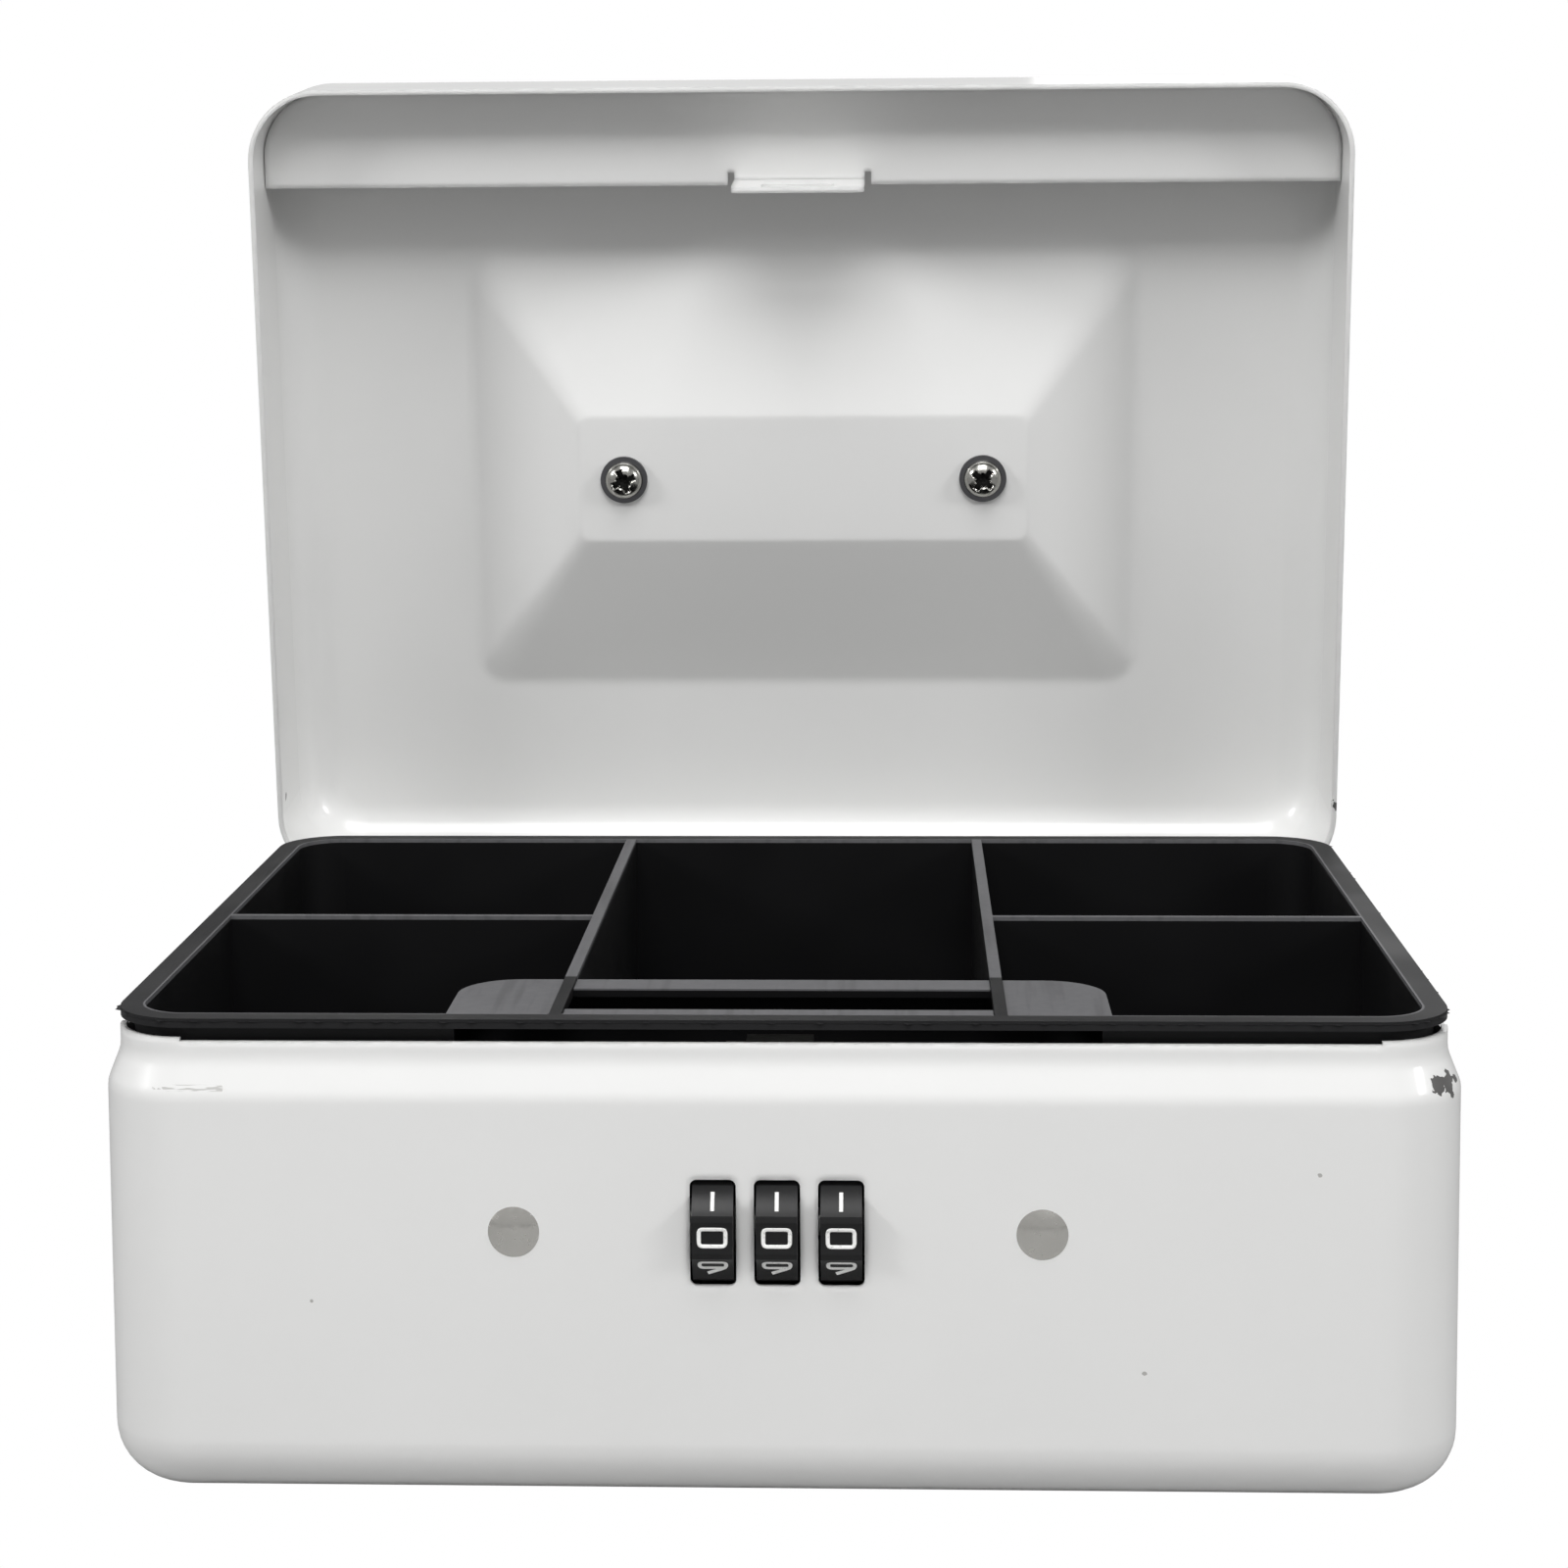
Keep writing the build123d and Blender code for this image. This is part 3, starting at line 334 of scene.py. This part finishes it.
# Grime and painted shade: dark steel laid on the faces inside the screws' cross recesses
recessGrimeAndShade = metal(
    "recess_grime_and_painted_shade_steel", colour="#2f2f2e", shade="#1d1d1c", roughness=0.4, scratch=0.3 * mm)
washerSteel = metal(
    "dull_washer_steel", colour="#77777a", shade="#5f5f61", roughness=0.36, scratch=0.3 * mm)
chrome = metal("chrome_plate", colour="#d9dadd", shade="#c6c8cb", roughness=0.08, scratch=0.8 * mm)
darkSteel = metal("blackened_steel", colour="#3b3b3a", shade="#2a2a2a", roughness=0.4, scratch=0.4 * mm)

finishes = {
    "painted_steel": white, "black_plastic": black, "grey_plastic": black, "zinc_steel": zinc,
    "spring_steel": zinc, "nickel": nickel, "dark_steel": darkSteel, "chrome": chrome,
}
# Pieces whose material differs from the rest of their slot: the tray and the washers have their own finish,
# the tray's with a painted reflection, and the lock's latch bar, cover and case take zinc darkened as
# painted shade
ownFinishAndPaintedLight = {
    "coin_tray": trayBlack, "latch_bar": shadedZinc, "lock_cover": shadedZinc, "lock_case": shadedZinc,
    "handle_washers": washerSteel,
}
for part in frame["record"]["subparts"]:
    name = part["node"]
    mesh = nodes[name].data
    mesh.materials.clear()
    mesh.materials.append(ownFinishAndPaintedLight.get(name, finishes[part["material_slot"]]))


def newPiece(name, shape, materials):
    """An object in the scene, made from the drawn shape."""
    mesh = bpy.data.meshes.new(name)
    shape.to_mesh(mesh)
    shape.free()
    for material in materials:
        mesh.materials.append(material)
    piece = bpy.data.objects.new(name, mesh)
    bpy.context.scene.collection.objects.link(piece)
    return piece


def skin(shape, loops):
    """Faces from each closed loop of points to the next loop."""
    for near, far in zip(loops, loops[1:]):
        for k in range(len(near)):
            j = (k + 1) % len(near)
            shape.faces.new((near[k], far[k], far[j], near[j]))


print("stage: numbers on the dials")

# Numbers printed on the dials' hollow facets; sizes in mm, the same facet sizes as the dials have
dialPlan = {
    "radius": 8.9, "facetHalf": 2.3, "hollow": 0.35, "width": 3.85, "height": 2.5,
    "stroke": 0.62, "corner": 0.6, "cornerSteps": 4, "ink": 0.03,
}
# Each number's strokes on a square from -1 to 1, x to the right and y up
numberStrokes = {
    0: [[(0, -1), (1, -1), (1, 1), (-1, 1), (-1, -1), (0, -1)]],
    1: [[(0, -1.15), (0, 1.15)]],
    2: [[(-1, 1), (1, 1), (1, 0), (-1, 0), (-1, -1), (1, -1)]],
    3: [[(-1, 1), (1, 1), (1, -1), (-1, -1)], [(-0.4, 0), (1, 0)]],
    4: [[(0.5, -1), (0.5, 1), (-1, -0.3), (1, -0.3)]],
    5: [[(1, 1), (-1, 1), (-1, 0.1), (1, 0.1), (1, -1), (-1, -1)]],
    6: [[(0.4, 1), (-1, 0.1), (-1, -1), (1, -1), (1, 0.1), (-1, 0.1)]],
    7: [[(-1, 1), (1, 1), (-0.3, -1)]],
    8: [[(0, -1), (1, -1), (1, 1), (-1, 1), (-1, -1), (0, -1)], [(-1, 0), (1, 0)]],
    9: [[(-0.4, -1), (1, -0.1), (1, 1), (-1, 1), (-1, -0.1), (1, -0.1)]],
}
facetTurn = 360 / len(numberStrokes)  # degrees from one number to the next


def roundedPath(corners, radius, steps):
    """Points along a stroke, with each inner corner rounded off."""
    path = [corners[0]]
    for before, corner, after in zip(corners, corners[1:], corners[2:]):
        start = corner + (before - corner).normalized() * radius
        end = corner + (after - corner).normalized() * radius
        for step in range(steps + 1):
            t = step / steps
            path.append(start * (1 - t) ** 2 + corner * 2 * t * (1 - t) + end * t ** 2)
    return path + [corners[-1]]


def strokeCurve(strokes, plan):
    """The strokes of one number as a flat curve with a round section, in mm."""
    curve = bpy.data.curves.new("number", "CURVE")
    curve.dimensions = "3D"
    curve.bevel_depth = plan["stroke"] / 2
    curve.bevel_resolution = 1
    curve.use_fill_caps = True
    for stroke in strokes:
        corners = [Vector((x * plan["width"] / 2, y * plan["height"] / 2, 0)) for x, y in stroke]
        path = roundedPath(corners, plan["corner"], plan["cornerSteps"])
        line = curve.splines.new("POLY")
        line.points.add(len(path) - 1)
        for point, place in zip(line.points, path):
            point.co = (*place, 1)
    return curve


def onFacet(point, turn, plan):
    """A point of a flat number, laid on the dial's hollow facet that faces out at the given turn."""
    edge = sqrt(plan["radius"] ** 2 - plan["facetHalf"] ** 2)
    hollowRadius = (plan["facetHalf"] ** 2 + plan["hollow"] ** 2) / (2 * plan["hollow"])
    reach = edge - plan["hollow"] + hollowRadius
    height = point.z * 2 * plan["ink"] / plan["stroke"]
    out = reach - sqrt(hollowRadius ** 2 - point.y ** 2) + height
    return Vector((
        point.x,
        -out * cos(turn) + point.y * sin(turn),
        out * sin(turn) + point.y * cos(turn)))


# White ink printed by a soft pad, thinner in places
inkPlan = {
    "colour": "#f2f2f0", "thin": "#cfcfcd", "thinSize": 0.25 * mm, "thinFrom": 0.25, "thinTo": 0.45,
    "roughness": 0.45, "depth": 0.004 * mm,
}


def dialInk():
    material, tree, place = newMaterial("white_dial_ink")
    thin = noise(tree, place, inkPlan["thinSize"])
    cover = remap(tree, thin, inkPlan["thinFrom"], inkPlan["thinTo"], 0, 1)
    tint = blendColour(tree, cover, hexColour(inkPlan["thin"]), hexColour(inkPlan["colour"]))
    shader = addNode(tree, "ShaderNodeBsdfPrincipled", {}, {
        "Base Color": tint, "Roughness": inkPlan["roughness"],
        "Normal": bump(tree, thin, inkPlan["depth"])})
    return finishMaterial(material, tree, shader.outputs["BSDF"])


ink = dialInk()


def dialNumbers(name, centre, plan):
    """All ten numbers of one dial as one thin printed piece."""
    printed = bmesh.new()
    for number, strokes in numberStrokes.items():
        holder = bpy.data.objects.new("number", strokeCurve(strokes, plan))
        flat = bpy.data.meshes.new_from_object(holder)
        for vertex in flat.vertices:
            vertex.co = onFacet(vertex.co, radians(facetTurn * number), plan) * mm + centre
        printed.from_mesh(flat)
        bpy.data.objects.remove(holder)
        bpy.data.meshes.remove(flat)
    return newPiece(name, printed, [ink])


for n in (1, 2, 3):
    low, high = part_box(f"dial_{n}")
    numbers = dialNumbers(f"dial_{n}_numbers", (Vector(low) + Vector(high)) / 2, dialPlan)
    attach(numbers, f"wheel_{n}")

print("stage: handle screws and tray flash")

# Pan head screws that stopped at different turns; lengths in mm, turns in degrees
screwPlan = {
    "radius": 3.6, "height": 2.4, "dome": 2.4, "rings": 28, "sides": 72,
    "recess": 1.5, "taper": 0.4, "slotHalf": 0.55, "slotReach": 2.3, "ribHalf": 0.3, "ribReach": 1.5,
    "shank": 6.3, "thread": 1.95, "root": 1.7, "threadPitch": 0.7, "shankSides": 18,
    "washer": 0.8, "spacing": 68.0, "turns": (22, 50), "lidOpen": 83,
}
lidAngle = radians(screwPlan["lidOpen"])  # how far the lid stands open at rest
screwAxis = Vector((0, -sin(lidAngle), -cos(lidAngle)))


def recessDepth(x, y, plan):
    """How deep the cross recess is at a place on the head: four tapered wings and four short ribs."""
    depth = 0
    wings = (0, plan["slotHalf"], plan["slotReach"])
    ribs = (45, plan["ribHalf"], plan["ribReach"])
    for turn, half, reach in (wings, ribs):
        a = radians(turn)
        u, v = abs(x * cos(a) + y * sin(a)), abs(y * cos(a) - x * sin(a))
        for across, along in ((u, v), (v, u)):
            if across < half and along < reach:
                depth = max(depth, plan["recess"] * (1 - plan["taper"] * along / reach))
    return depth


def anglesRound(count):
    return [2 * pi * k / count for k in range(count)]


def screwHead(shape, at, turn, plan):
    """A domed head with the recess pressed in, whose faces take the second material: steel darkened for
    grime and as painted shade in the recess.
    """
    angles = anglesRound(plan["sides"])
    rings, pressed = [], []
    for n in range(1, plan["rings"] + 1):
        r = plan["radius"] * n / plan["rings"]
        crown = plan["height"] * sqrt(max(0, 1 - (r / plan["radius"]) ** plan["dome"]))
        depths = [recessDepth(r * cos(a - turn), r * sin(a - turn), plan) for a in angles]
        rings.append([at(r, a, crown - d) for a, d in zip(angles, depths)])
        pressed.append([d > 0 for d in depths])
    centre = at(0, 0, plan["height"] - plan["recess"])
    for k in range(plan["sides"]):
        j = (k + 1) % plan["sides"]
        shape.faces.new((centre, rings[0][k], rings[0][j])).material_index = 1
        for inner, outer, inside in zip(rings, rings[1:], pressed[1:]):
            face = shape.faces.new((inner[k], outer[k], outer[j], inner[j]))
            face.material_index = 1 if inside[k] else 0
            face.smooth = not inside[k]


def screwShank(shape, at, plan):
    """The threaded shank, with a crest and a root ring in each pitch."""
    angles = anglesRound(plan["shankSides"])
    count = int(plan["shank"] / plan["threadPitch"] * 2)
    loops = []
    for n in range(count + 1):
        radius = plan["root"] if n % 2 else plan["thread"]
        loops.append([at(radius, a, -plan["shank"] * n / count) for a in angles])
    skin(shape, loops)


def screwShape(shape, place, turn, plan):
    """One screw, standing on its place and facing out of the lid."""
    side = Vector((1, 0, 0))
    up = screwAxis.cross(side)

    def at(radius, angle, height):
        across = side * radius * cos(angle) + up * radius * sin(angle)
        return shape.verts.new(place + (across + screwAxis * height) * mm)

    screwHead(shape, at, turn, plan)
    screwShank(shape, at, plan)


low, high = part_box("handle_washers")
seat = (low + high) / 2 + screwAxis * screwPlan["washer"] / 2 * mm
screws = bmesh.new()
for side, turn in zip((-1, 1), screwPlan["turns"]):
    place = seat + Vector((side * screwPlan["spacing"] / 2 * mm, 0, 0))
    screwShape(screws, place, radians(turn), screwPlan)
screwPiece = newPiece("handle_screws_turned", screws, [screwSteel, recessGrimeAndShade])
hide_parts("handle_screws")
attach(screwPiece, "lid")

# Thin ragged flash that the mould left round the tray's rim, thickest at the corners; lengths in mm
flashPlan = {
    "corner": 10.9, "step": 0.7, "below": 0.25, "inside": 0.3, "thick": 0.3,
    "reach": 1.9, "size": 1.4, "least": 0.04, "straight": 0.5,
    "behind": 0.05,  # reach along the back, where the lid's hinge leaf closes down
}


def rimPoints(halfX, halfY, corner, step):
    """Places round a rounded rectangle, each with its outward direction and how far it is into a corner."""
    points = []
    for quarter in range(4):
        turn = quarter * pi / 2
        first = Vector((cos(turn), sin(turn), 0))
        second = Vector((-sin(turn), cos(turn), 0))
        reach, run = (halfX, halfY) if quarter % 2 == 0 else (halfY, halfX)
        straight = run - corner
        count = int(2 * straight / step)
        for k in range(count):
            points.append((first * reach + second * (2 * straight * k / count - straight), first, 0))
        arc = int(corner * pi / 2 / step)
        for k in range(arc):
            a = pi / 2 * k / arc
            direction = first * cos(a) + second * sin(a)
            hub = first * (reach - corner) + second * straight
            points.append((hub + direction * corner, direction, sin(2 * a)))
    return points


def trayFlash(plan):
    low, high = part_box("coin_tray")
    centre = (low + high) / 2
    half = (high - low) / 2 / mm
    base = Vector((centre.x, centre.y, high.z - plan["below"] * mm))
    thickness = Vector((0, 0, plan["thick"]))
    shape = bmesh.new()
    loops = []
    for spot, outward, cornering in rimPoints(half.x, half.y, plan["corner"], plan["step"]):
        rough = wobble.noise(spot / plan["size"])
        grow = plan["reach"] * max(plan["least"], rough * (plan["straight"] + cornering))
        if outward.y > 0.5:
            grow = min(grow, plan["behind"])
        inner = spot - outward * plan["inside"]
        tip = spot + outward * grow
        loops.append([
            shape.verts.new(base + inner * mm),
            shape.verts.new(base + (tip - thickness / 2) * mm),
            shape.verts.new(base + (inner - thickness) * mm)])
    skin(shape, loops + loops[:1])
    return newPiece("tray_flash", shape, [trayBlack])


flash = trayFlash(flashPlan)
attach(flash, "tray")

print("stage: floor, lights and camera")

floorPlan = {"size": 4.0, "colour": "#acacac"}
bpy.ops.mesh.primitive_plane_add(size=floorPlan["size"])
floor = bpy.context.object
floor.name = "studio_floor"


def paleFloor():
    """White paper sweep, seen as plain white by the camera."""
    material, tree, place = newMaterial("white_paper_sweep")
    paper = addNode(tree, "ShaderNodeBsdfDiffuse", {}, {"Color": hexColour(floorPlan["colour"])})
    plain = addNode(tree, "ShaderNodeEmission", {}, {"Color": (1, 1, 1, 1), "Strength": 1.0})
    seen = addNode(tree, "ShaderNodeLightPath").outputs["Is Camera Ray"]
    shader = addNode(tree, "ShaderNodeMixShader", {}, {
        0: seen, 1: paper.outputs[0], 2: plain.outputs[0]})
    return finishMaterial(material, tree, shader.outputs[0])


floor.data.materials.append(paleFloor())

# Strength of the white room as light, in mirror reflections and as the background
roomPlan = {"light": 0.36, "reflected": 0.5, "seen": 1.0}
scene = bpy.context.scene
world = bpy.data.worlds.new("studio_room")
world.use_nodes = True
roomTree = world.node_tree
roomTree.nodes.clear()
ray = addNode(roomTree, "ShaderNodeLightPath").outputs
mirrored = remap(roomTree, ray["Is Glossy Ray"], 0, 1, roomPlan["light"], roomPlan["reflected"])
roomLevel = addNode(roomTree, "ShaderNodeMix", {}, {
    0: ray["Is Camera Ray"], 2: mirrored, 3: roomPlan["seen"]}).outputs[0]
room = addNode(roomTree, "ShaderNodeBackground", {}, {"Color": (1, 1, 1, 1), "Strength": roomLevel})
addNode(roomTree, "ShaderNodeOutputWorld", {}, {"Surface": room.outputs[0]})
scene.world = world
scene.view_settings.view_transform = "Standard"

lightPlan = {
    "soft_box_left": {"at": (-1.25, -0.6, 0.75), "size": 0.3, "power": 6.6},
    "soft_box_right": {"at": (1.3, -0.6, 0.7), "size": 0.3, "power": 6.2},
    "soft_box_above": {"at": (0.0, -0.43, 0.78), "size": 0.5, "power": 5.3},
    "soft_box_behind": {"at": (0.4, 1.4, 0.25), "size": 0.6, "power": 1.6},
}
lightTarget = Vector((0, 0, 0.09))
for name, plan in lightPlan.items():
    lamp = bpy.data.lights.new(name, "AREA")
    lamp.shape = "SQUARE"
    lamp.size = plan["size"]
    lamp.energy = plan["power"]
    holder = bpy.data.objects.new(name, lamp)
    holder.location = plan["at"]
    holder.rotation_euler = (lightTarget - holder.location).to_track_quat("-Z", "Y").to_euler()
    scene.collection.objects.link(holder)

# The photo's viewpoint: place in mm, angles in degrees
cameraPlan = {
    "at": (17.1, -528.3, 183.2), "yaw": -2.346, "pitch": 5.539, "roll": -0.384,
    "lens": 73.81, "shift": (0.01375, -0.1441), "nearest": 0.05,
}
yaw, pitch, roll = [radians(cameraPlan[k]) for k in ("yaw", "pitch", "roll")]
forward = Vector((sin(yaw) * cos(pitch), cos(yaw) * cos(pitch), -sin(pitch)))
right = Vector((cos(yaw), -sin(yaw), 0))
up = right.cross(forward)
right, up = cos(roll) * right + sin(roll) * up, cos(roll) * up - sin(roll) * right
lens = bpy.data.cameras.new("camera")
lens.lens = cameraPlan["lens"]
lens.shift_x, lens.shift_y = cameraPlan["shift"]
lens.clip_start = cameraPlan["nearest"]
camera = bpy.data.objects.new("camera", lens)
camera.matrix_world = Matrix.Translation(Vector(cameraPlan["at"]) * mm) @ Matrix(
    (right, up, -forward)).transposed().to_4x4()
scene.collection.objects.link(camera)
scene.camera = camera
